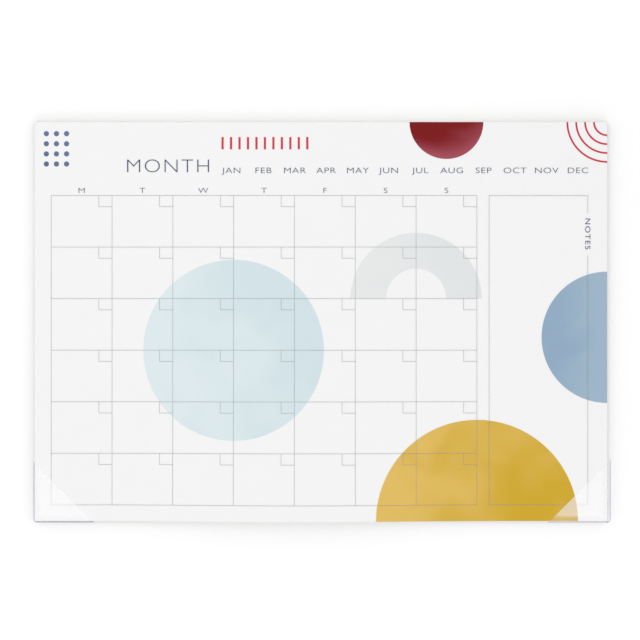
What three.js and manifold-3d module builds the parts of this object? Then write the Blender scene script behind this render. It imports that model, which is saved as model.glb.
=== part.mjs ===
// Undated monthly desk planner: a pad of tear-off sheets on a card back, glued along
// its head edge, with a clear welded pocket over each corner of its free edge.
// Units are millimetres. The pad lies flat with the print up and the head edge towards +Y,
// and the origin is in the middle of the board's underside.

import * as THREE from "three";
import { mergeVertices } from "three/addons/utils/BufferGeometryUtils.js";
import Module from "manifold-3d";

const wasm = await Module();
wasm.setup();

// The pad
const sheetWidth = 419;
const sheetDepth = 292;
const sheetCount = 24;
const sheetThickness = 0.12;
const boardThickness = 1.2;
const glueThickness = 0.5;

// The sheets bow up between the two pockets
const swellRise = 6;
const swellMargin = 17;
const swellOffset = 16;

// The corner pockets
const filmThickness = 0.25;
const filmClearance = 0.3;
const pocketLeg = 42;
const weldWidth = 0.7;
const weldBead = 0.12;
const tightReach = 1.3;
const looseReach = 3;

// The month grid and the notes frame
const columnCount = 7;
const rowCount = 6;
const leftMargin = 12.1;
const rightMargin = 14.2;
const headMargin = 53.8;
const footMargin = 11.8;
const notesWidth = 72.2;
const notesGap = 9;
const labelDrop = 12.8;
const labelHeight = 31;
const numberBoxWidth = 9.7;
const numberBoxHeight = 8.2;
const ruleWidth = 0.22;

// The colour print
const discRadius = 66;
const archOuter = 48;
const archInner = 22;
const ochreRadius = 74;
const steelBlueRadius = 48;
const crimsonRadius = 27;
const inkThickness = 0.05;
const inkGap = 0.04;

// Heights above the board's underside and places on the sheet, from the sizes above
const padTop = boardThickness + sheetCount * sheetThickness;
const filmTop = padTop + filmClearance + filmThickness;
const headEdge = sheetDepth / 2;
const footEdge = -sheetDepth / 2;
const sideEdge = sheetWidth / 2;
const swellWidth = sheetWidth - 2 * (pocketLeg + swellMargin);
const gridLeft = leftMargin - sideEdge;
const gridTop = headEdge - headMargin;
const gridFoot = footEdge + footMargin;
const notesRight = sideEdge - rightMargin;
const notesLeft = notesRight - notesWidth;
const gridRight = notesLeft - notesGap;
const columnPitch = (gridRight - gridLeft) / columnCount;
const rowPitch = (gridTop - gridFoot) / rowCount;

// Facets of the bowed sheet, and the steps of a round outline
const facetsAcross = 20;
const facetsDeep = 8;
const stepsLarge = 72;
const stepsSmall = 14;

const finishes = {
  paper: { color: 0xf4f4f3, roughness: 0.85 },
  board: { color: 0xa39c90, roughness: 0.95 },
  glue: { color: 0xe9e7e0, roughness: 0.5 },
  film: { color: 0xeef1f4, roughness: 0.08, transparent: true, opacity: 0.35 },
  rule: { color: 0x8b9098, roughness: 0.8 },
  paleBlue: { color: 0xd6e3e6, roughness: 0.8 },
  paleGrey: { color: 0xe2e4e4, roughness: 0.8 },
  ochre: { color: 0xdab455, roughness: 0.75 },
  steelBlue: { color: 0x96adc0, roughness: 0.75 },
  crimson: { color: 0x8a1a26, roughness: 0.7 },
  red: { color: 0xd0394a, roughness: 0.75 },
  navy: { color: 0x5b6f8f, roughness: 0.75 },
};

const planner = new THREE.Group();

function addPiece(name, geometry, finish) {
  const material = new THREE.MeshStandardMaterial({ metalness: 0, ...finishes[finish] });
  const mesh = new THREE.Mesh(geometry, material);
  mesh.name = name;
  planner.add(mesh);
  return mesh;
}

// A closed geometry as a solid that can be joined and cut, and back again
function toSolid(geometry) {
  const bare = geometry.clone();
  bare.deleteAttribute("normal");
  bare.deleteAttribute("uv");
  const merged = mergeVertices(bare, 1e-4);
  const vertProperties = new Float32Array(merged.getAttribute("position").array);
  const triVerts = new Uint32Array(merged.index.array);
  return new wasm.Manifold(new wasm.Mesh({ numProp: 3, vertProperties, triVerts }));
}

function toGeometry(solid) {
  const mesh = solid.getMesh();
  const geometry = new THREE.BufferGeometry();
  geometry.setAttribute("position", new THREE.BufferAttribute(mesh.vertProperties, 3));
  geometry.setIndex(new THREE.BufferAttribute(mesh.triVerts, 1));
  geometry.computeVertexNormals();
  return geometry;
}

// How far the top sheet stands above its flat level: nothing at the glued head edge and
// beside the pockets, and most in the middle of the free edge.
function swell(x, y) {
  const across = (x + swellOffset) / (swellWidth / 2);
  if (Math.abs(across) >= 1) return 0;
  const towardsFoot = (headEdge - y) / sheetDepth;
  return swellRise * Math.cos((across * Math.PI) / 2) ** 2 * towardsFoot ** 2;
}

// Closed solid over the whole sheet, between a lower and an upper height at each point.
// Both faces have the same facets, so one layer lies evenly on the next.
function sheetLayer(lowerHeight, upperHeight) {
  const plane = new THREE.PlaneGeometry(sheetWidth, sheetDepth, facetsAcross, facetsDeep);
  const place = plane.getAttribute("position");
  const positions = [];
  for (const height of [lowerHeight, upperHeight]) {
    for (let i = 0; i < place.count; i++) {
      const x = place.getX(i);
      const y = place.getY(i);
      positions.push(x, y, height(x, y));
    }
  }
  const upper = place.count;
  const faces = [];
  for (let i = 0; i < plane.index.count; i += 3) {
    const [a, b, c] = [0, 1, 2].map((k) => plane.index.getX(i + k));
    faces.push(a, c, b, upper + a, upper + b, upper + c);
  }
  const rim = rimOfPlane();
  rim.forEach((a, i) => {
    const b = rim[(i + 1) % rim.length];
    faces.push(a, b, upper + b, a, upper + b, upper + a);
  });
  const layer = new THREE.BufferGeometry();
  layer.setAttribute("position", new THREE.Float32BufferAttribute(positions, 3));
  layer.setIndex(faces);
  layer.computeVertexNormals();
  return layer;
}

// The vertices round the plane's edge, counterclockwise from the foot's left end
function rimOfPlane() {
  const rowLength = facetsAcross + 1;
  const footRow = facetsDeep * rowLength;
  const rim = [];
  for (let i = 0; i < facetsAcross; i++) rim.push(footRow + i);
  for (let j = facetsDeep; j > 0; j--) rim.push(j * rowLength + facetsAcross);
  for (let i = facetsAcross; i > 0; i--) rim.push(i);
  for (let j = 0; j < facetsDeep; j++) rim.push(j * rowLength);
  return rim;
}

// Upright three-sided prism that covers one foot corner of the pad out to a slanting line.
// It is drawn with the corner at its origin and the pad towards +X and +Y.
function cornerPrism(leg, overhang, base, height) {
  const slant = new THREE.Shape();
  slant.moveTo(-overhang, -overhang);
  slant.lineTo(leg + overhang, -overhang);
  slant.lineTo(-overhang, leg + overhang);
  slant.closePath();
  const geometry = new THREE.ExtrudeGeometry(slant, { depth: height, bevelEnabled: false });
  return geometry.translate(0, 0, base);
}

// Backing board, sheets and padding glue

// Card board whose underside is pressed in over the film of each pocket, so that board
// and film lie in one plane on the desk
function backingBoard() {
  const board = new THREE.BoxGeometry(sheetWidth, sheetDepth, boardThickness);
  board.translate(0, 0, boardThickness / 2);
  const pressLeg = pocketLeg + filmClearance;
  const left = cornerPrism(pressLeg, 1, -filmThickness, 2 * filmThickness);
  const right = left.clone().rotateZ(Math.PI / 2);
  left.translate(-sideEdge, footEdge, 0);
  right.translate(sideEdge, footEdge, 0);
  return toGeometry(toSolid(board).subtract(toSolid(left)).subtract(toSolid(right)));
}

function sheetBlock() {
  return sheetLayer(
    () => boardThickness,
    (x, y) => padTop + swell(x, y),
  );
}

// Brushed-on padding glue: flat against the head edge, slightly rounded outside
function glueBinding() {
  const bulge = glueThickness / 0.75;
  const profile = new THREE.Shape();
  profile.moveTo(0, 0);
  profile.bezierCurveTo(-bulge, padTop * 0.12, -bulge, padTop * 0.88, 0, padTop);
  profile.closePath();
  const options = { depth: sheetWidth, bevelEnabled: false, curveSegments: 8 };
  const strip = new THREE.ExtrudeGeometry(profile, options);
  const turn = new THREE.Matrix4().makeBasis(
    new THREE.Vector3(0, -1, 0),
    new THREE.Vector3(0, 0, 1),
    new THREE.Vector3(-1, 0, 0),
  );
  return strip.applyMatrix4(turn).translate(sideEdge, headEdge, 0);
}

// Corner pockets: two films, one over the print and one under the board, welded together
// along the two outer edges and open along the slanting one. The pocket is drawn for the
// left corner, with the corner of the pad at its origin and the pad towards +X and +Y.

const cornerRound = 0.8;
const cornerSteps = 10;
const panelLap = 0.6;
const bendOut = 0.45;
const kneeShare = 0.75;
const kneeDrop = 0.55;

// A section across the welded edge, swept along the +X leg, round the corner into the
// section of the +Y leg and along that leg. Each point is a distance out from the edge of
// the pad and a height.
function sweepRoundCorner(firstSection, lastSection, legLength) {
  const stations = cornerSteps + 3;
  const positions = [];
  firstSection.forEach(([firstOut, height], i) => {
    const lastOut = lastSection[i][0];
    positions.push(legLength, -firstOut, height);
    for (let k = 0; k <= cornerSteps; k++) {
      const turned = k / cornerSteps;
      const angle = -Math.PI / 2 - (turned * Math.PI) / 2;
      const radius = cornerRound + firstOut + (lastOut - firstOut) * turned;
      const x = cornerRound + radius * Math.cos(angle);
      const y = cornerRound + radius * Math.sin(angle);
      positions.push(x, y, height);
    }
    positions.push(-lastOut, legLength, height);
  });
  const faces = [];
  firstSection.forEach((_, i) => {
    const next = ((i + 1) % firstSection.length) * stations;
    const here = i * stations;
    for (let k = 0; k < stations - 1; k++) {
      faces.push(here + k, next + k + 1, next + k);
      faces.push(here + k, here + k + 1, next + k + 1);
    }
  });
  sectionTriangles(firstSection).forEach(([a, b, c]) => {
    faces.push(a * stations, c * stations, b * stations);
  });
  const end = stations - 1;
  sectionTriangles(lastSection).forEach(([a, b, c]) => {
    faces.push(a * stations + end, b * stations + end, c * stations + end);
  });
  const sweep = new THREE.BufferGeometry();
  sweep.setAttribute("position", new THREE.Float32BufferAttribute(positions, 3));
  sweep.setIndex(faces);
  return sweep;
}

function sectionTriangles(section) {
  const outline = section.map(([out, height]) => new THREE.Vector2(out, height));
  return THREE.ShapeUtils.triangulateShape(outline, []);
}

// The two films close in on each other round the edge of the pad and meet in the weld.
// Each one bends down past the edge, then has a knee and runs out flatter to the weld.
function weldSection(reach) {
  const middle = filmTop / 2;
  const weldIn = reach - weldWidth;
  const kneeOut = weldIn * kneeShare;
  const kneeHeight = filmTop - middle * kneeDrop;
  const upperOuter = [
    [-panelLap, filmTop],
    [bendOut, filmTop],
    [kneeOut, kneeHeight],
    [weldIn, middle + filmThickness],
    [weldIn + weldWidth * 0.25, middle + filmThickness + weldBead],
    [weldIn + weldWidth * 0.7, middle + filmThickness + weldBead],
    [reach, middle + filmThickness * 0.6],
  ];
  const upperInner = [
    [weldIn - filmThickness * 0.4, middle],
    [kneeOut - filmThickness * 0.9, kneeHeight - filmThickness * 0.5],
    [bendOut - filmThickness * 0.4, filmTop - filmThickness],
    [-panelLap, filmTop - filmThickness],
  ];
  const mirrored = ([out, height]) => [out, filmTop - height];
  const lowerOuter = upperOuter.map(mirrored).reverse();
  const lowerInner = upperInner.slice(1).map(mirrored).reverse();
  return [...upperOuter, ...lowerOuter, ...lowerInner, ...upperInner];
}

// Flat part of one film, over or under the pad
function filmPanel(base, legLength) {
  const outline = new THREE.Shape();
  outline.moveTo(legLength, 0);
  outline.lineTo(legLength, legLength);
  outline.lineTo(0, legLength);
  outline.lineTo(0, cornerRound);
  outline.absarc(cornerRound, cornerRound, cornerRound, Math.PI, Math.PI * 1.5, false);
  outline.closePath();
  const options = { depth: filmThickness, bevelEnabled: false, curveSegments: cornerSteps };
  return new THREE.ExtrudeGeometry(outline, options).translate(0, 0, base);
}

// The reaches say how far the weld stands out along the +X leg and along the +Y leg
function cornerPocket(firstReach, lastReach) {
  const legLength = pocketLeg + 4 * looseReach;
  const corner = cornerPrism(pocketLeg, 2 * looseReach, -filmTop, 3 * filmTop);
  const sections = [weldSection(firstReach), weldSection(lastReach)];
  const pocket = toSolid(sweepRoundCorner(...sections, legLength))
    .add(toSolid(filmPanel(filmTop - filmThickness, legLength)))
    .add(toSolid(filmPanel(0, legLength)))
    .intersect(toSolid(corner));
  return toGeometry(pocket);
}

// Both pockets are tight to the pad, but for the right one's side, which stands out
function addCornerPockets() {
  const left = addPiece("corner_protector_left", cornerPocket(tightReach, tightReach), "film");
  left.position.set(-sideEdge, footEdge, 0);
  const right = addPiece("corner_protector_right", cornerPocket(looseReach, tightReach), "film");
  right.position.set(sideEdge, footEdge, 0);
  right.rotation.z = Math.PI / 2;
}

// Print: thin layers of ink that follow the bowed sheet. Colours lie on the paper and the
// grey rules lie over the colours.

function inkLayer(lift) {
  return toSolid(
    sheetLayer(
      (x, y) => padTop + lift + swell(x, y),
      (x, y) => padTop + lift + inkThickness + swell(x, y),
    ),
  );
}

const colourLayer = inkLayer(inkGap);
const ruleLayer = inkLayer(2 * inkGap + inkThickness);

// An outline as an upright solid that reaches through every layer
function prism(shape, curveSegments = stepsLarge) {
  const depth = padTop + swellRise + 4;
  return toSolid(new THREE.ExtrudeGeometry(shape, { depth, bevelEnabled: false, curveSegments }));
}

function addPrint(name, outline, layer, finish) {
  addPiece(name, toGeometry(layer.intersect(outline)), finish);
}

function rectangle(left, foot, right, top) {
  const shape = new THREE.Shape();
  shape.moveTo(left, foot);
  shape.lineTo(right, foot);
  shape.lineTo(right, top);
  shape.lineTo(left, top);
  shape.closePath();
  return shape;
}

// A straight rule between two points that lie above or beside each other
function rule(x1, y1, x2, y2) {
  const half = ruleWidth / 2;
  return prism(rectangle(x1 - half, y1 - half, x2 + half, y2 + half));
}

// One lattice for the whole month, with a box for the number in each day's upper right corner
function monthGrid() {
  let lattice = rule(gridLeft, gridTop, gridRight, gridTop);
  for (let column = 0; column <= columnCount; column++) {
    const x = gridLeft + column * columnPitch;
    lattice = lattice.add(rule(x, gridFoot, x, gridTop));
  }
  for (let row = 1; row <= rowCount; row++) {
    const y = gridTop - row * rowPitch;
    lattice = lattice.add(rule(gridLeft, y, gridRight, y));
  }
  for (let column = 1; column <= columnCount; column++) {
    for (let row = 0; row < rowCount; row++) {
      const right = gridLeft + column * columnPitch;
      const top = gridTop - row * rowPitch;
      const left = right - numberBoxWidth;
      const foot = top - numberBoxHeight;
      lattice = lattice.add(rule(left, foot, right, foot)).add(rule(left, foot, left, top));
    }
  }
  return lattice;
}

// Frame for notes beside the month, broken on its right side where its label stands
function notesFrame() {
  const labelTop = gridTop - labelDrop;
  return rule(notesLeft, gridTop, notesRight, gridTop)
    .add(rule(notesLeft, gridFoot, notesLeft, gridTop))
    .add(rule(notesLeft, gridFoot, notesRight, gridFoot))
    .add(rule(notesRight, labelTop, notesRight, gridTop))
    .add(rule(notesRight, gridFoot, notesRight, labelTop - labelHeight));
}

function disc(x, y, radius) {
  return new THREE.Shape().absarc(x, y, radius, 0, Math.PI * 2, false);
}

function ring(x, y, inner, outer) {
  const shape = disc(x, y, outer);
  shape.holes.push(new THREE.Path().absarc(x, y, inner, 0, Math.PI * 2, true));
  return shape;
}

// Half ring that stands on its two feet
function arch(x, y, inner, outer) {
  const shape = new THREE.Shape();
  shape.absarc(x, y, outer, 0, Math.PI, false);
  shape.absarc(x, y, inner, Math.PI, 0, true);
  shape.closePath();
  return shape;
}

// The large fields are set on the lines of the month grid. Discs centred on an edge of the
// sheet print as half discs, cut off by the edge.
function addColours() {
  const discX = gridLeft + 3 * columnPitch;
  const discY = gridTop - 3 * rowPitch;
  const archX = gridLeft + 6 * columnPitch;
  const archY = gridTop - 2 * rowPitch;
  const paleBlue = prism(disc(discX, discY, discRadius));
  const paleGrey = prism(arch(archX, archY, archInner, archOuter));
  const ochre = prism(disc(gridRight, footEdge, ochreRadius));
  const steelBlue = prism(disc(sideEdge, gridTop - 2.75 * rowPitch, steelBlueRadius));
  const crimson = prism(disc(gridRight - columnPitch / 2, headEdge, crimsonRadius));
  addPrint("print_disc_pale_blue", paleBlue, colourLayer, "paleBlue");
  addPrint("print_arch_pale_grey", paleGrey, colourLayer, "paleGrey");
  addPrint("print_half_disc_ochre", ochre, colourLayer, "ochre");
  addPrint("print_half_disc_steel_blue", steelBlue, colourLayer, "steelBlue");
  addPrint("print_half_disc_crimson", crimson, colourLayer, "crimson");
}

// Quarter rings round the upper right corner of the sheet
function addCornerRings() {
  const ringCount = 4;
  const ringPitch = 6.5;
  const firstRadius = 9;
  const lineWidth = 1.3;
  for (let i = 0; i < ringCount; i++) {
    const radius = firstRadius + i * ringPitch;
    const outline = prism(ring(sideEdge, headEdge, radius, radius + lineWidth));
    addPrint("print_corner_ring_" + (i + 1), outline, colourLayer, "red");
  }
}

// A block of dots in the upper left corner
function addDots() {
  const dotRadius = 1.9;
  const dotPitch = 7.4;
  const cornerInset = 8.5;
  const firstX = cornerInset - sideEdge;
  const firstY = headEdge - cornerInset;
  const perRow = 3;
  const rows = 4;
  for (let i = 0; i < perRow * rows; i++) {
    const x = firstX + (i % perRow) * dotPitch;
    const y = firstY - Math.floor(i / perRow) * dotPitch;
    const outline = prism(disc(x, y, dotRadius), stepsSmall);
    addPrint("print_dot_" + (i + 1), outline, colourLayer, "navy");
  }
}

// A row of short upright bars above the months
function addBars() {
  const barCount = 11;
  const barPitch = 6.2;
  const barWidth = 1.6;
  const barHeight = 9;
  const headInset = 11;
  const firstX = gridLeft + 2.8 * columnPitch;
  const barFoot = headEdge - headInset - barHeight;
  for (let i = 0; i < barCount; i++) {
    const x = firstX + i * barPitch;
    const outline = prism(rectangle(x, barFoot, x + barWidth, barFoot + barHeight));
    addPrint("print_bar_" + (i + 1), outline, colourLayer, "red");
  }
}

addPiece("backing_board", backingBoard(), "board");
addPiece("sheet_block", sheetBlock(), "paper");
addPiece("glue_binding", glueBinding(), "glue");
addCornerPockets();
addPrint("print_month_grid", monthGrid(), ruleLayer, "rule");
addPrint("print_notes_frame", notesFrame(), ruleLayer, "rule");
addColours();
addCornerRings();
addDots();
addBars();

export default planner;
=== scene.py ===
import bpy, math, random
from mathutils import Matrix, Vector


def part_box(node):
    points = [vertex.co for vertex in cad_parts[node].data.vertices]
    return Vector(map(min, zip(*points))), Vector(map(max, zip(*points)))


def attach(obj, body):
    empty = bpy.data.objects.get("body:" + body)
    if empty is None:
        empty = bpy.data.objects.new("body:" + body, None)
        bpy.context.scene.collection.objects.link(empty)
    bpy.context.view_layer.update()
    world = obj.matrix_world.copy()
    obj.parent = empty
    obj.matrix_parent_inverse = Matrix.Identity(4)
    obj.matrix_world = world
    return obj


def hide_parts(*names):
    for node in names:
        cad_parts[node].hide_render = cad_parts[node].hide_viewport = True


# Monthly desk planner pad, seen from straight above. Metres, print up, head edge to +Y.

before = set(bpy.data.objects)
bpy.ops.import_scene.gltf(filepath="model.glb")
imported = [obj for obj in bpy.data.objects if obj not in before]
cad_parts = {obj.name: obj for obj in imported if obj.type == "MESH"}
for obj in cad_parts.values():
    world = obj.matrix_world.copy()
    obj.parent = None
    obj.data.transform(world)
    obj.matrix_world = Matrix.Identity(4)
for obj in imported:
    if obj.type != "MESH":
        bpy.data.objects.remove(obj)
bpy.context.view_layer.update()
print("frame loaded:", len(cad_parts), "nodes")

mm = 0.001

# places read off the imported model
sheetLow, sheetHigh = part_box("sheet_block")
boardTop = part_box("backing_board")[1].z
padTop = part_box("glue_binding")[1].z  # flat level of the top sheet, at the glued edge
gridLow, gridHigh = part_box("print_month_grid")
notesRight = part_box("print_notes_frame")[1].x
sheetWidth = sheetHigh.x - sheetLow.x
sheetDepth = sheetHigh.y - sheetLow.y

# the bow of the sheets, and how high and thick the ink lies on them, as in the solids
swell = {"rise": 6 * mm, "width": 301 * mm, "middle": -16 * mm}
ink = {"colourLift": 0.04 * mm, "ruleLift": 0.13 * mm, "film": 0.04 * mm, "rule": 0.22 * mm}
samePoint = 0.001 * mm  # points closer than this are merged


def swellAt(x, y):
    # bow of the free edge between the two pockets
    across = (x - swell["middle"]) / (swell["width"] / 2)
    if abs(across) >= 1:
        return 0.0
    toFoot = (sheetHigh.y - y) / sheetDepth
    return swell["rise"] * math.cos(across * math.pi / 2) ** 2 * toFoot ** 2


# helpers

def startFresh():
    if bpy.context.mode != "OBJECT":
        bpy.ops.object.mode_set(mode="OBJECT")
    bpy.ops.object.select_all(action="DESELECT")


def editAll():
    bpy.ops.object.mode_set(mode="EDIT")
    bpy.ops.mesh.select_all(action="SELECT")


def applyPlace():
    bpy.ops.object.transform_apply(location=True, rotation=True, scale=True)


def selectFaces(test):
    # picks faces by where their middle lies
    bpy.ops.object.mode_set(mode="EDIT")
    bpy.ops.mesh.select_mode(type="FACE")
    bpy.ops.mesh.select_all(action="DESELECT")
    bpy.ops.object.mode_set(mode="OBJECT")
    for face in bpy.context.object.data.polygons:
        face.select = test(face)
    bpy.ops.object.mode_set(mode="EDIT")


def settle(piece, lift):
    # lays a flat print on the bowed sheet
    for vertex in piece.data.vertices:
        vertex.co.z += padTop + lift + swellAt(vertex.co.x, vertex.co.y)


def addFilm(piece, thickness):
    # ink or film as a closed skin, grown upwards from its lower face
    solid = piece.modifiers.new("thickness", "SOLIDIFY")
    solid.thickness = thickness
    solid.offset = 1
    bpy.context.view_layer.objects.active = piece
    bpy.ops.object.modifier_apply(modifier="thickness")


def paintNode(node, material):
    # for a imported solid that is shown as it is
    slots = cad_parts[node].data.materials
    slots.clear()
    slots.append(material)


def finishPiece(piece, name, slotName, *materials):
    piece.name = name
    piece.data.name = name
    piece.data.materials.clear()
    for material in materials:
        piece.data.materials.append(material)
    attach(piece, "root")


# materials

def toLinear(hexText):
    channels = [int(hexText[i:i + 2], 16) / 255 for i in (1, 3, 5)]
    linear = [c / 12.92 if c <= 0.04045 else ((c + 0.055) / 1.055) ** 2.4 for c in channels]
    return (*linear, 1)


def newMaterial(name):
    material = bpy.data.materials.new(name)
    material.use_nodes = True
    tree = material.node_tree
    shader = tree.nodes["Principled BSDF"]
    return material, tree, shader


def addNode(tree, kind, settings=None, inputs=None):
    # inputs holds plain values, or sockets to link from
    node = tree.nodes.new(kind)
    for key, value in (settings or {}).items():
        setattr(node, key, value)
    for key, value in (inputs or {}).items():
        if isinstance(value, bpy.types.NodeSocket):
            tree.links.new(value, node.inputs[key])
        else:
            node.inputs[key].default_value = value
    return node


def setRamp(node, stops):
    ramp = node.color_ramp
    while len(ramp.elements) < len(stops):
        ramp.elements.new(0.5)
    for element, (place, colour) in zip(ramp.elements, stops):
        element.position = place
        element.color = colour


def makeOffsetPaper():
    # uncoated white offset paper: calendered smooth, a faint cloud where fibres clump
    material, tree, shader = newMaterial("uncoatedOffsetPaper")
    place = addNode(tree, "ShaderNodeTexCoord")
    cloud = addNode(tree, "ShaderNodeTexNoise", None,
                    {"Vector": place.outputs["Object"], "Scale": 1 / (14 * mm), "Detail": 3})
    clouded = addNode(tree, "ShaderNodeValToRGB", None, {"Fac": cloud.outputs["Fac"]})
    setRamp(clouded, [(0.3, toLinear("#f2f2f2")), (0.7, toLinear("#f3f3f3"))])
    fibre = addNode(tree, "ShaderNodeTexNoise", None,
                    {"Vector": place.outputs["Object"], "Scale": 1 / (0.9 * mm), "Detail": 2})
    flecked = addNode(tree, "ShaderNodeMix", {"data_type": "RGBA", "blend_type": "MULTIPLY"},
                      {0: 0.012, 6: clouded.outputs["Color"], 7: fibre.outputs["Fac"]})
    bump = addNode(tree, "ShaderNodeBump", None,
                   {"Strength": 0.12, "Distance": 0.02 * mm, "Height": fibre.outputs["Fac"]})
    tree.links.new(flecked.outputs[2], shader.inputs["Base Color"])
    tree.links.new(bump.outputs["Normal"], shader.inputs["Normal"])
    shader.inputs["Roughness"].default_value = 0.88
    shader.inputs["Specular IOR Level"].default_value = 0.25
    return material


def makeSheetEdges():
    # guillotined edges of the pad: a dark hairline between one sheet and the next, painted
    # shade in the thin gap
    material, tree, shader = newMaterial("guillotinedSheetEdges")
    level = addNode(tree, "ShaderNodeAttribute", {"attribute_name": "sheetLevel"})
    phase = addNode(tree, "ShaderNodeMath", {"operation": "FRACT"}, {0: level.outputs["Fac"]})
    line = addNode(tree, "ShaderNodeValToRGB", None, {"Fac": phase.outputs["Value"]})
    # the dark ends of the ramp are painted shade between the sheets
    setRamp(line, [(0.0, toLinear("#8f8e8a")), (0.2, toLinear("#dcdcda")),
                   (0.8, toLinear("#e6e6e4")), (1.0, toLinear("#9b9a96"))])
    tree.links.new(line.outputs["Color"], shader.inputs["Base Color"])
    shader.inputs["Roughness"].default_value = 0.92
    shader.inputs["Specular IOR Level"].default_value = 0.2
    return material


inkLook = {"pool": 0.25, "mottle": 0.05, "roughness": 0.78}  # unless a colour says otherwise


def makeInk(name, colour):
    # offset ink sunk into uncoated paper: matt, a little uneven where the paper drinks it,
    # and drawn as a soft blend from one tone to another, with slow watery pools; in the
    # crimson and the ochre the blend is a painted glare, paler towards the middle of the
    # sheet; the fine grain of the print is drawn coarse enough to show
    look = {**inkLook, **colour}
    material, tree, shader = newMaterial(name)
    place = addNode(tree, "ShaderNodeTexCoord")
    start, end = Vector(look["start"]), Vector(look["end"])
    along = end - start
    turned = addNode(tree, "ShaderNodeMapping", {"vector_type": "TEXTURE"},
                     {"Vector": place.outputs["Object"],
                      "Location": (start.x, start.y, 0),
                      "Rotation": (0, 0, math.atan2(along.y, along.x)),
                      "Scale": (along.length,) * 3})
    blend = addNode(tree, "ShaderNodeTexGradient", {"gradient_type": "LINEAR"},
                    {"Vector": turned.outputs["Vector"]})
    pool = addNode(tree, "ShaderNodeTexNoise", None,
                   {"Vector": place.outputs["Object"], "Scale": 1 / (38 * mm), "Detail": 1,
                    "Distortion": 0.6})
    drift = addNode(tree, "ShaderNodeMapRange", None,
                    {"Value": pool.outputs["Fac"], "From Min": 0.3, "From Max": 0.7,
                     "To Min": -look["pool"], "To Max": look["pool"]})
    pooled = addNode(tree, "ShaderNodeMath", {"operation": "ADD"},
                     {0: blend.outputs["Fac"], 1: drift.outputs["Result"]})
    tone = addNode(tree, "ShaderNodeValToRGB", None, {"Fac": pooled.outputs["Value"]})
    tone.color_ramp.interpolation = "EASE"
    setRamp(tone, [(0.0, toLinear(look["from"])), (1.0, toLinear(look["to"]))])
    mottle = addNode(tree, "ShaderNodeTexNoise", None,
                     {"Vector": place.outputs["Object"], "Scale": 1 / (2.2 * mm), "Detail": 4})
    uneven = addNode(tree, "ShaderNodeMix", {"data_type": "RGBA", "blend_type": "SOFT_LIGHT"},
                     {0: look["mottle"], 6: tone.outputs["Color"],
                      7: mottle.outputs["Color"]})
    tree.links.new(uneven.outputs[2], shader.inputs["Base Color"])
    shader.inputs["Roughness"].default_value = look["roughness"]
    shader.inputs["Specular IOR Level"].default_value = 0.3
    return material


def evenTone(tone):
    # a colour with no blend in it
    return {"from": tone, "to": tone, "start": (-0.2, 0), "end": (0.2, 0), "mottle": 0.1}


def makeGreyboard():
    # recycled greyboard: pressed from waste paper, so flecked with dark and pale fibres
    material, tree, shader = newMaterial("recycledGreyboard")
    place = addNode(tree, "ShaderNodeTexCoord")
    fibre = addNode(tree, "ShaderNodeTexNoise", None,
                    {"Vector": place.outputs["Object"], "Scale": 1 / (2.6 * mm),
                     "Detail": 8, "Roughness": 0.7})
    base = addNode(tree, "ShaderNodeValToRGB", None, {"Fac": fibre.outputs["Fac"]})
    setRamp(base, [(0.25, toLinear("#8f887c")), (0.6, toLinear("#a39c8f"))])
    fleck = addNode(tree, "ShaderNodeTexVoronoi", {"feature": "F1"},
                    {"Vector": place.outputs["Object"], "Scale": 1 / (3.5 * mm)})
    spot = addNode(tree, "ShaderNodeValToRGB", None, {"Fac": fleck.outputs["Distance"]})
    setRamp(spot, [(0.05, (1, 1, 1, 1)), (0.16, (0, 0, 0, 1))])
    flecked = addNode(tree, "ShaderNodeMix", {"data_type": "RGBA"},
                      {0: spot.outputs["Color"], 6: base.outputs["Color"],
                       7: toLinear("#6d675e")})
    bump = addNode(tree, "ShaderNodeBump", None,
                   {"Strength": 0.35, "Distance": 0.06 * mm, "Height": fibre.outputs["Fac"]})
    tree.links.new(flecked.outputs[2], shader.inputs["Base Color"])
    tree.links.new(bump.outputs["Normal"], shader.inputs["Normal"])
    shader.inputs["Roughness"].default_value = 0.94
    shader.inputs["Specular IOR Level"].default_value = 0.2
    return material


def makePaddingGlue():
    # white padding glue brushed on in strokes along the edge: a rubbery half gloss
    material, tree, shader = newMaterial("brushedPaddingGlue")
    place = addNode(tree, "ShaderNodeTexCoord")
    drawn = addNode(tree, "ShaderNodeMapping", None,
                    {"Vector": place.outputs["Object"], "Scale": (0.06, 1, 1)})
    stroke = addNode(tree, "ShaderNodeTexNoise", None,
                     {"Vector": drawn.outputs["Vector"], "Scale": 1 / (0.7 * mm), "Detail": 3})
    tone = addNode(tree, "ShaderNodeValToRGB", None, {"Fac": stroke.outputs["Fac"]})
    setRamp(tone, [(0.3, toLinear("#dedbd2")), (0.7, toLinear("#efece4"))])
    bump = addNode(tree, "ShaderNodeBump", None,
                   {"Strength": 0.5, "Distance": 0.1 * mm, "Height": stroke.outputs["Fac"]})
    tree.links.new(tone.outputs["Color"], shader.inputs["Base Color"])
    tree.links.new(bump.outputs["Normal"], shader.inputs["Normal"])
    shader.inputs["Roughness"].default_value = 0.42
    return material


def distanceIn(tree, place, low, high):
    # how far in from the outline of the pad, from 0 at low to 1 at high
    axes = addNode(tree, "ShaderNodeSeparateXYZ", None, {0: place.outputs["Object"]})
    outwards = addNode(tree, "ShaderNodeMath", {"operation": "ABSOLUTE"},
                       {0: axes.outputs["X"]})
    side = addNode(tree, "ShaderNodeMath", {"operation": "SUBTRACT"},
                   {0: sheetHigh.x, 1: outwards.outputs["Value"]})
    foot = addNode(tree, "ShaderNodeMath", {"operation": "SUBTRACT"},
                   {0: axes.outputs["Y"], 1: sheetLow.y})
    nearest = addNode(tree, "ShaderNodeMath", {"operation": "MINIMUM"},
                      {0: side.outputs["Value"], 1: foot.outputs["Value"]})
    return addNode(tree, "ShaderNodeMapRange", None,
                   {"Value": nearest.outputs["Value"], "From Min": low, "From Max": high})


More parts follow.
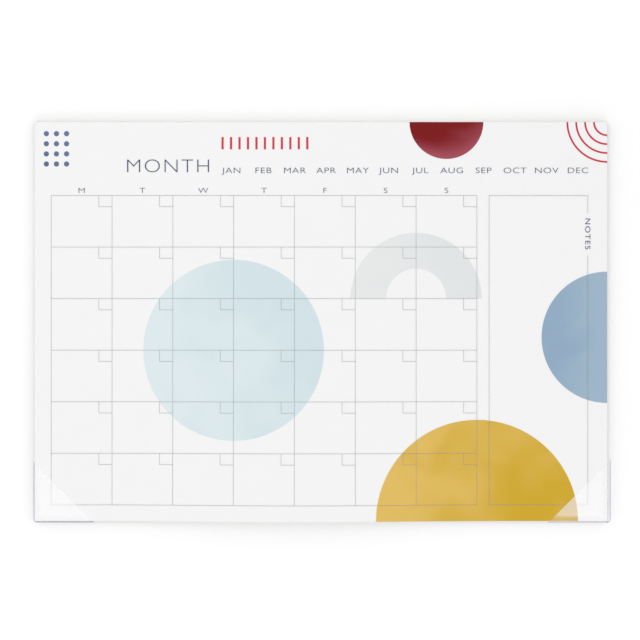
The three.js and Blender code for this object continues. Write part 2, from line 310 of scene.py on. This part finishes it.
def makeClearFilm():
    # clear calendered vinyl with slow waves that mirrors the room; where it lies flat a white
    # veil is painted on it as painted sheen, rippled by painted glint streaks, then it clears,
    # and where it bends down past the pad it looks lilac
    material, tree, shader = newMaterial("clearVinylFilm")
    place = addNode(tree, "ShaderNodeTexCoord")
    wave = addNode(tree, "ShaderNodeTexNoise", None,
                   {"Vector": place.outputs["Object"], "Scale": 1 / (26 * mm), "Detail": 1})
    bump = addNode(tree, "ShaderNodeBump", None,
                   {"Strength": 0.25, "Distance": 0.6 * mm, "Height": wave.outputs["Fac"]})
    inwards = distanceIn(tree, place, -3 * mm, 5 * mm)
    lilacEdgeAndPaintedSheen = addNode(tree, "ShaderNodeValToRGB", None, {"Fac": inwards.outputs["Result"]})
    # the clear white, at 0.24 in the middle of the film, is a painted sheen: a white veil
    # standing in for the reflection of the lamps
    lilac, clear = toLinear("#c6cae6")[:3], toLinear("#f8f8f9")[:3]
    setRamp(lilacEdgeAndPaintedSheen, [(0.0, (*lilac, 0.03)), (0.3, (*lilac, 0.03)), (0.35, (*lilac, 0.36)),
                   (0.39, (*clear, 0.06)), (0.66, (*clear, 0.06)), (0.9, (*clear, 0.24))])
    tree.links.new(bump.outputs["Normal"], shader.inputs["Normal"])
    tree.links.new(lilacEdgeAndPaintedSheen.outputs["Color"], shader.inputs["Base Color"])
    # painted glints: noise streaks that make the painted sheen brighter and fainter
    glintStreakNoise = addNode(tree, "ShaderNodeTexNoise", None,
                     {"Vector": place.outputs["Object"], "Scale": 1 / (18 * mm),
                      "Detail": 0})
    glintRipple = addNode(tree, "ShaderNodeMapRange", None,
                     {"Value": glintStreakNoise.outputs["Fac"], "From Min": 0.3, "From Max": 0.7,
                      "To Min": 0.86, "To Max": 1.12})
    sheenAlphaWithGlints = addNode(tree, "ShaderNodeMath", {"operation": "MULTIPLY"},
                      {0: lilacEdgeAndPaintedSheen.outputs["Alpha"], 1: glintRipple.outputs["Result"]})
    tree.links.new(sheenAlphaWithGlints.outputs["Value"], shader.inputs["Alpha"])
    shader.inputs["Roughness"].default_value = 0.16
    shader.inputs["IOR"].default_value = 1.53
    shader.inputs["Coat Weight"].default_value = 1
    shader.inputs["Coat Roughness"].default_value = 0.12
    return material


def makeWeldSeam():
    # the same vinyl where heat has fused two films: denser, with a cool lilac cast, and
    # darker along the foot as painted shade, the shadow at the foot of the pad
    material, tree, shader = newMaterial("heatWeldedVinylSeam")
    place = addNode(tree, "ShaderNodeTexCoord")
    tooth = addNode(tree, "ShaderNodeTexNoise", None,
                    {"Vector": place.outputs["Object"], "Scale": 1 / (1.2 * mm), "Detail": 2})
    tone = addNode(tree, "ShaderNodeValToRGB", None, {"Fac": tooth.outputs["Fac"]})
    setRamp(tone, [(0.3, toLinear("#b6bbda")), (0.7, toLinear("#c9cde8"))])
    axes = addNode(tree, "ShaderNodeSeparateXYZ", None, {0: place.outputs["Object"]})
    # painted shade: the seam turns dark slate along the foot edge, where the pad's shadow
    # falls
    foot = addNode(tree, "ShaderNodeMapRange", None,
                   {"Value": axes.outputs["Y"], "From Min": sheetLow.y + 0.5 * mm,
                    "From Max": sheetLow.y - 0.3 * mm, "To Min": 0, "To Max": 0.95})
    shaded = addNode(tree, "ShaderNodeMix", {"data_type": "RGBA"},
                     {0: foot.outputs["Result"], 6: tone.outputs["Color"],
                      7: toLinear("#5d6484")})
    tree.links.new(shaded.outputs[2], shader.inputs["Base Color"])
    shader.inputs["Roughness"].default_value = 0.25
    shader.inputs["IOR"].default_value = 1.53
    shader.inputs["Coat Weight"].default_value = 1
    shader.inputs["Alpha"].default_value = 0.8
    return material


def makeFilmCut():
    # the cut edge of the film, matt from the blade and too thin to catch the light
    material, tree, shader = newMaterial("vinylCutEdge")
    place = addNode(tree, "ShaderNodeTexCoord")
    blade = addNode(tree, "ShaderNodeTexNoise", None,
                    {"Vector": place.outputs["Object"], "Scale": 1 / (1.5 * mm), "Detail": 2})
    tone = addNode(tree, "ShaderNodeValToRGB", None, {"Fac": blade.outputs["Fac"]})
    setRamp(tone, [(0.3, toLinear("#d9dbe6")), (0.7, toLinear("#eceef4"))])
    tree.links.new(tone.outputs["Color"], shader.inputs["Base Color"])
    shader.inputs["Roughness"].default_value = 0.7
    shader.inputs["Specular IOR Level"].default_value = 0.1
    shader.inputs["Alpha"].default_value = 0.1
    return material


offsetPaper = makeOffsetPaper()
sheetEdges = makeSheetEdges()
greyboard = makeGreyboard()
paddingGlue = makePaddingGlue()
clearFilm = makeClearFilm()
weldSeam = makeWeldSeam()
filmCut = makeFilmCut()
print("base materials made")


# the pad of sheets

pad = {"sheets": 24, "acrossCells": 84, "deepCells": 58, "softAngle": 25, "faceUp": 0.7,
       "trim": 0.05 * mm}  # the farthest that a sheet's edge lies in from its neighbours'


def makeSheetPad():
    # the top face is extruded down half a sheet at a time, in by a chance trim and out
    # again; the block is one unit high at first, each point keeps its level as an
    # attribute, and then the block is drawn to its bowed height
    startFresh()
    bpy.ops.mesh.primitive_grid_add(x_subdivisions=pad["acrossCells"],
                                    y_subdivisions=pad["deepCells"], size=1)
    block = bpy.context.object
    block.scale = (sheetWidth, sheetDepth, 1)
    block.location = ((sheetLow.x + sheetHigh.x) / 2, (sheetLow.y + sheetHigh.y) / 2, 1)
    applyPlace()
    editAll()
    bpy.ops.mesh.region_to_loop()
    halfSheet = 0.5 / pad["sheets"]
    random.seed(7)
    for _ in range(pad["sheets"]):
        inset = random.uniform(0, pad["trim"])
        smaller = 1 - 2 * inset / sheetWidth
        for shrink in (smaller, 1 / smaller):
            bpy.ops.mesh.extrude_edges_move(
                TRANSFORM_OT_translate={"value": (0, 0, -halfSheet)})
            bpy.ops.transform.resize(value=(shrink, shrink, 1),
                                     center_override=(0, 0, 0))
    bpy.ops.mesh.edge_face_add()
    bpy.ops.mesh.select_all(action="SELECT")
    bpy.ops.mesh.normals_make_consistent(inside=False)
    bpy.ops.object.mode_set(mode="OBJECT")
    mesh = block.data
    level = mesh.attributes.new("sheetLevel", "FLOAT", "POINT")
    for vertex in mesh.vertices:
        share = vertex.co.z
        level.data[vertex.index].value = share * pad["sheets"]
        full = padTop - boardTop + swellAt(vertex.co.x, vertex.co.y)
        vertex.co.z = boardTop + share * full
    finishPiece(block, "sheetPad", "sheet_paper", offsetPaper, sheetEdges)
    for face in mesh.polygons:
        face.material_index = 0 if face.normal.z > pad["faceUp"] else 1
    bpy.ops.object.shade_smooth_by_angle(angle=math.radians(pad["softAngle"]))
    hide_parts("sheet_block")


makeSheetPad()
print("pad of sheets made")


# printed rules

monthGrid = {"columns": 7, "rows": 6, "numberBox": (9.7 * mm, 8.2 * mm),
             "step": 9 * mm, "tone": "#999da6"}


def ruleCuts(lines):
    # cuts on both sides of each rule, and about one a step between them, so that the
    # print can bend
    half = ink["rule"] / 2
    cuts = sorted([line + side for line in lines for side in (-half, half)])
    filled = [cuts[0]]
    for cut in cuts[1:]:
        gap = cut - filled[-1]
        parts = max(1, round(gap / monthGrid["step"]))
        filled += [filled[-1] + gap * (i + 1) / parts for i in range(parts)]
    return filled


def makeMonthGrid():
    half = ink["rule"] / 2
    left, right = gridLow.x + half, gridHigh.x - half
    foot, top = gridLow.y + half, gridHigh.y - half
    columnPitch = (right - left) / monthGrid["columns"]
    rowPitch = (top - foot) / monthGrid["rows"]
    boxWidth, boxHeight = monthGrid["numberBox"]
    columns = [left + i * columnPitch for i in range(monthGrid["columns"] + 1)]
    rows = [foot + i * rowPitch for i in range(monthGrid["rows"] + 1)]
    boxSides = [x - boxWidth for x in columns[1:]]
    boxFeet = [y - boxHeight for y in rows[1:]]
    xCuts = ruleCuts(columns + boxSides)
    yCuts = ruleCuts(rows + boxFeet)
    startFresh()
    bpy.ops.mesh.primitive_grid_add(x_subdivisions=len(xCuts) - 1,
                                    y_subdivisions=len(yCuts) - 1, size=1)
    grid = bpy.context.object
    for vertex in grid.data.vertices:
        column = round((vertex.co.x + 0.5) * (len(xCuts) - 1))
        row = round((vertex.co.y + 0.5) * (len(yCuts) - 1))
        vertex.co = (xCuts[column], yCuts[row], 0)

    def offRule(face):
        # true for the bare paper between the rules and the number boxes
        x, y = face.center.x, face.center.y
        onLine = any(abs(x - line) < half for line in columns)
        onLine = onLine or any(abs(y - line) < half for line in rows)
        boxX = next((side for side in boxSides if side - half < x < side + boxWidth), None)
        boxY = next((base for base in boxFeet if base - half < y < base + boxHeight), None)
        if boxX is not None and boxY is not None:
            onLine = onLine or abs(x - boxX) < half or abs(y - boxY) < half
        return not onLine

    selectFaces(offRule)
    bpy.ops.mesh.delete(type="FACE")
    bpy.ops.object.mode_set(mode="OBJECT")
    addFilm(grid, ink["film"])
    settle(grid, ink["ruleLift"])
    finishPiece(grid, "monthGridPrint", "rule_ink", ruleInk)
    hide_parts("print_month_grid")
    return columns, rows


ruleInk = makeInk("greyRuleInk", evenTone(monthGrid["tone"]))
columnLines, rowLines = makeMonthGrid()
paintNode("print_notes_frame", ruleInk)
print("printed rules made")


# printed colours

# each ink runs from one tone at the start to another at the end, places in metres
colours = {
    "paleBlue": {"from": "#dbe7ea", "to": "#cfdfe4", "start": (-0.13, 0), "end": (0.0, 0.02)},
    "paleGrey": {"from": "#e4e6e6", "to": "#dfe2e3", "start": (0.03, 0), "end": (0.11, 0)},
    # ochre: darker towards the corner, paler towards the middle of the sheet, a painted glare
    "ochre": {"from": "#dfba60", "to": "#cda627", "start": (0.04, -0.1), "end": (0.19, -0.13)},
    "steelBlue": {"from": "#8fa9c1", "to": "#9db4c6", "start": (0.16, 0), "end": (0.21, 0)},
    # crimson: deep at the head edge and paler inwards, a painted glare
    "crimson": {"from": "#7a0208", "to": "#a8505f", "start": (0.09, 0.146),
                "end": (0.10, 0.119)},
    "red": {"from": "#d23848", "to": "#c93345", "start": (-0.08, 0.13), "end": (0.21, 0.13)},
    "navy": {"from": "#566b8c", "to": "#62769a", "start": (-0.21, 0.1), "end": (-0.18, 0.14)},
}
figure = {"fieldPoints": 144, "ringPoints": 192, "dotPoints": 40, "step": 5.5 * mm,
          "archInner": 22 * mm, "ringWidth": 1.3 * mm, "dotRim": 0.4 * mm,
          "rings": 4, "dots": 12, "bars": 11}


def addDisc(middle, radius, points):
    startFresh()
    bpy.ops.mesh.primitive_circle_add(vertices=points, radius=radius, fill_type="NGON",
                                      location=(middle[0], middle[1], 0))
    applyPlace()
    return bpy.context.object


def insetRings(count, step, hollow=False):
    # rings of faces that let a large field follow the bow of the sheet
    editAll()
    for _ in range(count):
        bpy.ops.mesh.inset(thickness=step, use_even_offset=True)
    if hollow:
        bpy.ops.mesh.delete(type="FACE")
    bpy.ops.object.mode_set(mode="OBJECT")


def trimAt(point, normal):
    editAll()
    bpy.ops.mesh.bisect(plane_co=point, plane_no=normal, clear_outer=True)
    bpy.ops.object.mode_set(mode="OBJECT")


def trimToSheet():
    # colour that runs off the sheet is cut with it
    for point, normal in ((sheetHigh, (1, 0, 0)), (sheetHigh, (0, 1, 0)),
                          (sheetLow, (-1, 0, 0)), (sheetLow, (0, -1, 0))):
        trimAt(point, normal)


def layPrint(piece, name, slotName, material, node):
    addFilm(piece, ink["film"])
    settle(piece, ink["colourLift"])
    finishPiece(piece, name, slotName, material)
    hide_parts(node)


def makeField(node, name, slotName, material, middle, radius):
    field = addDisc(middle, radius, figure["fieldPoints"])
    insetRings(int(radius / figure["step"]) - 1, figure["step"])
    trimToSheet()
    layPrint(field, name, slotName, material, node)


def makeArch(node, name, slotName, material, middle, outer, inner):
    arch = addDisc(middle, outer, figure["fieldPoints"])
    rings = round((outer - inner) / figure["step"])
    insetRings(rings, (outer - inner) / rings, hollow=True)
    trimAt((middle[0], middle[1], 0), (0, -1, 0))
    layPrint(arch, name, slotName, material, node)


def makeRing(node, name, slotName, material, middle, outer, width):
    ring = addDisc(middle, outer, figure["ringPoints"])
    insetRings(1, width, hollow=True)
    trimToSheet()
    layPrint(ring, name, slotName, material, node)


def middleOf(node):
    low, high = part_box(node)
    return (low.x + high.x) / 2, (low.y + high.y) / 2


def makeDots(material):
    # one flat dot is modelled, the others are moved copies, and each is laid on the sheet
    nodes = ["print_dot_" + str(i) for i in range(1, figure["dots"] + 1)]
    low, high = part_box(nodes[0])
    first = addDisc(middleOf(nodes[0]), (high.x - low.x) / 2, figure["dotPoints"])
    insetRings(1, figure["dotRim"])
    dots = [first]
    for node in nodes[1:]:
        step = Vector(middleOf(node)) - Vector(middleOf(nodes[0]))
        startFresh()
        first.select_set(True)
        bpy.context.view_layer.objects.active = first
        bpy.ops.object.duplicate()
        dots.append(bpy.context.object)
        dots[-1].location = (step.x, step.y, 0)
        applyPlace()
    for i, (dot, node) in enumerate(zip(dots, nodes), start=1):
        layPrint(dot, "navyDot" + str(i), "navy_ink", material, node)


def makeColourPrint():
    inks = {key: makeInk(key + "OffsetInk", look) for key, look in colours.items()}
    low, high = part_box("print_disc_pale_blue")
    makeField("print_disc_pale_blue", "paleBlueDisc", "pale_blue_ink", inks["paleBlue"],
              middleOf("print_disc_pale_blue"), (high.x - low.x) / 2)
    low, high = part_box("print_half_disc_ochre")
    makeField("print_half_disc_ochre", "ochreHalfDisc", "ochre_ink", inks["ochre"],
              ((low.x + high.x) / 2, sheetLow.y), (high.x - low.x) / 2)
    low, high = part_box("print_half_disc_steel_blue")
    makeField("print_half_disc_steel_blue", "steelBlueHalfDisc", "steel_blue_ink",
              inks["steelBlue"], (sheetHigh.x, (low.y + high.y) / 2), (high.y - low.y) / 2)
    low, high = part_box("print_half_disc_crimson")
    makeField("print_half_disc_crimson", "crimsonHalfDisc", "crimson_ink", inks["crimson"],
              ((low.x + high.x) / 2, sheetHigh.y), (high.x - low.x) / 2)
    low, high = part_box("print_arch_pale_grey")
    makeArch("print_arch_pale_grey", "paleGreyArch", "pale_grey_ink", inks["paleGrey"],
             ((low.x + high.x) / 2, low.y), (high.x - low.x) / 2,
             figure["archInner"])
    for i in range(1, figure["rings"] + 1):
        node = "print_corner_ring_" + str(i)
        low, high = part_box(node)
        makeRing(node, "redCornerRing" + str(i), "red_ink", inks["red"],
                 (sheetHigh.x, sheetHigh.y), high.x - low.x, figure["ringWidth"])
    makeDots(inks["navy"])
    for i in range(1, figure["bars"] + 1):
        paintNode("print_bar_" + str(i), inks["red"])


makeColourPrint()
print("printed colours made")


# lettering: plain calendar words

# wide is a stretch, thin an offset of the outline and spacing a share of the font's own
monthStyle = {"cap": 4.1 * mm, "wide": 1.32, "thin": -0.014, "spacing": 1.06}
weekdayStyle = {"cap": 3.8 * mm, "wide": 1.32, "thin": -0.016, "spacing": 1.0}
titleStyle = {"cap": 9.8 * mm, "wide": 1.12, "thin": -0.022, "spacing": 1.1}
notesStyle = {"cap": 3.7 * mm, "wide": 1.2, "thin": -0.002, "spacing": 1.2}
lettering = {
    "months": "JAN FEB MAR APR MAY JUN JUL AUG SEP OCT NOV DEC".split(),
    "monthFirst": -65.3 * mm, "monthStep": 23.03 * mm, "monthMiddle": 110.6 * mm,
    "weekdays": "MTWTFSS", "weekdayGap": 1.8 * mm,
    "title": "MONTH", "titleLeft": -143.4 * mm, "titleFoot": 109 * mm,
    "notes": "NOTES", "notesMiddle": 64.2 * mm,
    "tone": "#545c76", "curveSteps": 4,
    "capShare": 0.682,  # height of a capital in the font, in units of its size
}


def addWord(text, style, middle, turn=0.0, anchor="CENTER"):
    startFresh()
    bpy.ops.object.text_add(location=(0, 0, 0))
    word = bpy.context.object
    word.data.body = text
    word.data.align_x = anchor
    word.data.space_character = style["spacing"]
    word.data.offset = style["thin"]
    word.data.resolution_u = lettering["curveSteps"]
    bpy.ops.object.convert(target="MESH")
    word = bpy.context.object
    scale = style["cap"] / lettering["capShare"]
    word.scale = (scale * style["wide"], scale, scale)
    word.location = (0, -style["cap"] / 2, 0)
    applyPlace()
    word.rotation_euler = (0, 0, turn)
    word.location = (middle[0], middle[1], 0)
    applyPlace()
    return word


def joinWords(words, name):
    # one printed line of words as one piece
    startFresh()
    for word in words:
        word.select_set(True)
    bpy.context.view_layer.objects.active = words[0]
    if len(words) > 1:
        bpy.ops.object.join()
    joined = bpy.context.object
    editAll()
    bpy.ops.mesh.remove_doubles(threshold=samePoint)
    bpy.ops.object.mode_set(mode="OBJECT")
    addFilm(joined, ink["film"])
    settle(joined, ink["ruleLift"])
    finishPiece(joined, name, "rule_ink", letterInk)


def makeLettering():
    text = lettering
    months = [addWord(month, monthStyle,
                      (text["monthFirst"] + i * text["monthStep"], text["monthMiddle"]))
              for i, month in enumerate(text["months"])]
    joinWords(months, "monthNames")
    weekdayMiddle = rowLines[-1] + text["weekdayGap"] + weekdayStyle["cap"] / 2
    weekdays = [addWord(letter, weekdayStyle,
                        ((columnLines[i] + columnLines[i + 1]) / 2, weekdayMiddle))
                for i, letter in enumerate(text["weekdays"])]
    joinWords(weekdays, "weekdayInitials")
    title = addWord(text["title"], titleStyle,
                    (text["titleLeft"], text["titleFoot"] + titleStyle["cap"] / 2),
                    anchor="LEFT")
    joinWords([title], "monthHeading")
    label = addWord(text["notes"], notesStyle,
                    (notesRight - ink["rule"] / 2, text["notesMiddle"]), turn=-math.pi / 2)
    joinWords([label], "notesLabel")


letterInk = makeInk("slateLetterInk", evenTone(lettering["tone"]))
makeLettering()
print("lettering made")


# board and glue keep their solids

paintNode("backing_board", greyboard)
paintNode("glue_binding", paddingGlue)


# corner pockets

pocket = {"seam": 0.8 * mm, "softAngle": 12, "flatAngle": 0.3, "slack": 0.01}


def makePocket(node, name):
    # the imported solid, merged and shaded smooth round its corner, with the weld and the
    # slanting cut in finishes of their own; film this clear throws no shadow on the print
    startFresh()
    film = bpy.data.objects.new(name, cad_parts[node].data.copy())
    bpy.context.collection.objects.link(film)
    bpy.context.view_layer.objects.active = film
    film.select_set(True)
    editAll()
    bpy.ops.mesh.remove_doubles(threshold=samePoint)
    bpy.ops.mesh.dissolve_limited(angle_limit=math.radians(pocket["flatAngle"]))
    bpy.ops.object.mode_set(mode="OBJECT")
    bpy.ops.object.shade_smooth_by_angle(angle=math.radians(pocket["softAngle"]))
    finishPiece(film, name, "clear_film", clearFilm, weldSeam, filmCut)
    low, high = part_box(node)
    outerX = low.x if low.x < 0 else high.x
    for face in film.data.polygons:
        toSide = abs(face.center.x - outerX)
        toFoot = abs(face.center.y - low.y)
        isWeld = min(toSide, toFoot) < pocket["seam"]
        alike = abs(abs(face.normal.x) - face.normal.y) < pocket["slack"]
        isCut = alike and face.normal.y > 0.5  # faces the head and the far side alike
        face.material_index = 2 if isCut else int(isWeld)
    film.visible_shadow = False
    film.visible_diffuse = False
    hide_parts(node)


makePocket("corner_protector_left", "leftCornerPocket")
makePocket("corner_protector_right", "rightCornerPocket")
print("corner pockets made")


# floor, light and camera

stageSet = {"floorSize": 6, "zenith": 0.735, "horizon": 1.4,
            "keyPower": 0.6, "keySize": 0.5, "keyPlace": (-0.2, 0.35, 0.75),
            "footPower": 2.8, "footSize": 1.0, "footPlace": (0, -1.3, 0.5),
            "sheenPower": 0.06, "sheenSize": 0.14,
            "sheenPlace": (0.41, -0.277, 1.0),
            "floorSeen": "#ffffff", "floorLit": "#8c8c8c",
            "cameraPlace": (-0.7 * mm, 1.1 * mm, 0.915), "lens": 70, "nearest": 0.01}


def seenDirectly(tree):
    # 1 for what the eye sees, also in a mirror or through glass, and 0 for soft light
    path = addNode(tree, "ShaderNodeLightPath")
    plain = addNode(tree, "ShaderNodeMath", {"operation": "MAXIMUM"},
                    {0: path.outputs["Is Camera Ray"], 1: path.outputs["Is Glossy Ray"]})
    return addNode(tree, "ShaderNodeMath", {"operation": "MAXIMUM"},
                   {0: plain.outputs["Value"], 1: path.outputs["Is Transmission Ray"]})


def makeFloor():
    startFresh()
    bpy.ops.mesh.primitive_plane_add(size=stageSet["floorSize"], location=(0, 0, 0))
    floor = bpy.context.object
    floor.name = "floor"
    # matt white paint; darker for soft light only, so that the shadows keep their depth
    material, tree, shader = newMaterial("whiteStudioTable")
    seen = seenDirectly(tree)
    paint = addNode(tree, "ShaderNodeMix", {"data_type": "RGBA"},
                    {0: seen.outputs["Value"], 6: toLinear(stageSet["floorLit"]),
                     7: toLinear(stageSet["floorSeen"])})
    tree.links.new(paint.outputs[2], shader.inputs["Base Color"])
    shader.inputs["Roughness"].default_value = 1
    shader.inputs["Specular IOR Level"].default_value = 0
    floor.data.materials.append(material)


def makeWorld():
    # plain white for the eye and for mirror rays; as light, a room that grows brighter
    # towards the walls, so that low things throw a soft shadow all round
    world = bpy.context.scene.world or bpy.data.worlds.new("world")
    bpy.context.scene.world = world
    world.use_nodes = True
    tree = world.node_tree
    seen = seenDirectly(tree)
    direction = addNode(tree, "ShaderNodeTexCoord")
    axes = addNode(tree, "ShaderNodeSeparateXYZ", None, {0: direction.outputs["Generated"]})
    low = addNode(tree, "ShaderNodeMath", {"operation": "SUBTRACT", "use_clamp": True},
                  {0: 1, 1: axes.outputs["Z"]})
    lowSquared = addNode(tree, "ShaderNodeMath", {"operation": "POWER"},
                         {0: low.outputs["Value"], 1: 2})
    room = addNode(tree, "ShaderNodeMapRange", None,
                   {"Value": lowSquared.outputs["Value"], "To Min": stageSet["zenith"],
                    "To Max": stageSet["zenith"] * (1 + stageSet["horizon"])})
    strength = addNode(tree, "ShaderNodeMapRange", None,
                       {"Value": seen.outputs["Value"], "To Min": room.outputs["Result"],
                        "To Max": 1})
    background = tree.nodes["Background"]
    background.inputs["Color"].default_value = (1, 1, 1, 1)
    tree.links.new(strength.outputs["Result"], background.inputs["Strength"])


def addSoftbox(name, place, size, power):
    light = bpy.data.lights.new(name, "AREA")
    light.size = size
    light.energy = power
    lamp = bpy.data.objects.new(name, light)
    bpy.context.collection.objects.link(lamp)
    lamp.location = place
    # turned to face the middle of the pad
    lamp.rotation_euler = (-Vector(place)).to_track_quat("-Z", "Y").to_euler()


def makeLights():
    addSoftbox("keySoftbox", stageSet["keyPlace"], stageSet["keySize"], stageSet["keyPower"])
    addSoftbox("footSoftbox", stageSet["footPlace"], stageSet["footSize"],
               stageSet["footPower"])
    x, y, z = stageSet["sheenPlace"]
    for side, name in ((-1, "leftSheenSoftbox"), (1, "rightSheenSoftbox")):
        addSoftbox(name, (side * x, y, z), stageSet["sheenSize"], stageSet["sheenPower"])


def makeCamera():
    camera = bpy.data.objects.new("camera", bpy.data.cameras.new("camera"))
    bpy.context.collection.objects.link(camera)
    camera.data.lens = stageSet["lens"]
    camera.data.clip_start = stageSet["nearest"]
    camera.location = stageSet["cameraPlace"]  # looks straight down
    bpy.context.scene.camera = camera
    bpy.context.scene.view_settings.view_transform = "Standard"


makeFloor()
makeWorld()
makeLights()
makeCamera()
print("stage, light and camera set")
